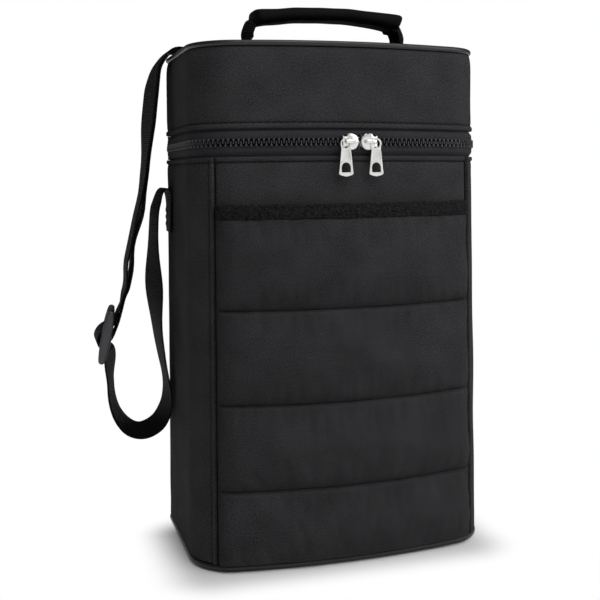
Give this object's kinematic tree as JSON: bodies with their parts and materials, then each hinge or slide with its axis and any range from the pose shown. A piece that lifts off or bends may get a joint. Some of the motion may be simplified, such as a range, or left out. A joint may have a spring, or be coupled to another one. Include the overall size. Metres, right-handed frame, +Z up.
{
  "type": "mate carrying bag",
  "caption": "Zip-topped padded carrying bag with a hinged lid, quilted front pocket, carrying handle and adjustable shoulder strap.",
  "frame": {"origin": "centre of the base, on the surface that the bag stands on", "axes": "+X to the right along the front, +Y from the front to the back, +Z up"},
  "size_m": [0.2629, 0.1423, 0.3706],
  "materials": {
    "fabric": "woven black polyester, matt",
    "quilt": "padded black polyester, matt",
    "binding": "black fleece binding",
    "piping": "dark grey satin piping",
    "foam": "grey closed-cell foam",
    "lining": "grey coated lining",
    "board": "stiffener board",
    "tape": "black woven zip tape",
    "teeth": "black moulded plastic",
    "nickel": "nickel-plated, satin",
    "webbing": "black ribbed webbing",
    "plastic": "dark grey moulded plastic"
  },
  "bodies": {
    "bag": {"front_panel": "fabric", "pocket_panel": "quilt", "pocket_binding": "binding", "left_gusset": "fabric", "right_gusset": "fabric", "back_panel": "fabric", "base_panel": "fabric", "base_board": "board", "base_piping": "piping", "front_foam": "foam", "back_foam": "foam", "left_foam": "foam", "right_foam": "foam", "body_lining": "lining", "lower_zip_tape": "tape", "lower_zip_teeth": "teeth", "hinge_strip": "fabric", "strap_webbing": "webbing", "strap_adjuster": "plastic", "strap_tab": "webbing", "strap_ring": "nickel"},
    "lid": {"lid_band": "fabric", "lid_top_panel": "fabric", "top_piping": "piping", "lid_side_foam": "foam", "lid_top_foam": "foam", "lid_lining": "lining", "upper_zip_tape": "tape", "upper_zip_teeth": "teeth", "handle_webbing": "webbing", "handle_left_patch": "webbing", "handle_right_patch": "webbing"},
    "carry_handle": {"handle_grip": "webbing"},
    "slider_left": {"left_slider": "nickel"},
    "slider_right": {"right_slider": "nickel"},
    "tab_left": {"left_pull": "nickel"},
    "tab_right": {"right_pull": "nickel"}
  },
  "joints": [
    {"name": "lid_hinge", "type": "hinge", "parent": "bag", "child": "lid", "pos_m": [0, 0.0658, 0.2822], "axis": [-1, 0, 0], "range_deg": [0, 170], "deforming": ["strap_webbing"]},
    {"name": "left_slider_travel", "type": "hinge", "parent": "bag", "child": "slider_left", "pos_m": [0, 0.3745, 0.27365], "axis": [0, 0, 1], "range_deg": [-9, 0], "deforming": ["lower_zip_teeth", "upper_zip_teeth"]},
    {"name": "right_slider_travel", "type": "hinge", "parent": "bag", "child": "slider_right", "pos_m": [0, 0.3745, 0.27365], "axis": [0, 0, 1], "range_deg": [0, 7.4], "deforming": ["lower_zip_teeth", "upper_zip_teeth"]},
    {"name": "left_pull_swing", "type": "hinge", "parent": "slider_left", "child": "tab_left", "pos_m": [-0.00435, -0.0655, 0.27365], "axis": [-0.001, -1, 0], "range_deg": [-100, 8]},
    {"name": "right_pull_swing", "type": "hinge", "parent": "slider_right", "child": "tab_right", "pos_m": [0.01655, -0.06521, 0.27365], "axis": [0.0287, -0.9996, 0], "range_deg": [-8, 100]},
    {"name": "handle_tilt", "type": "hinge", "parent": "lid", "child": "carry_handle", "pos_m": [0, -0.01, 0.3425], "axis": [1, 0, 0], "range_deg": [-45, 45], "deforming": ["handle_webbing"]}
  ]
}
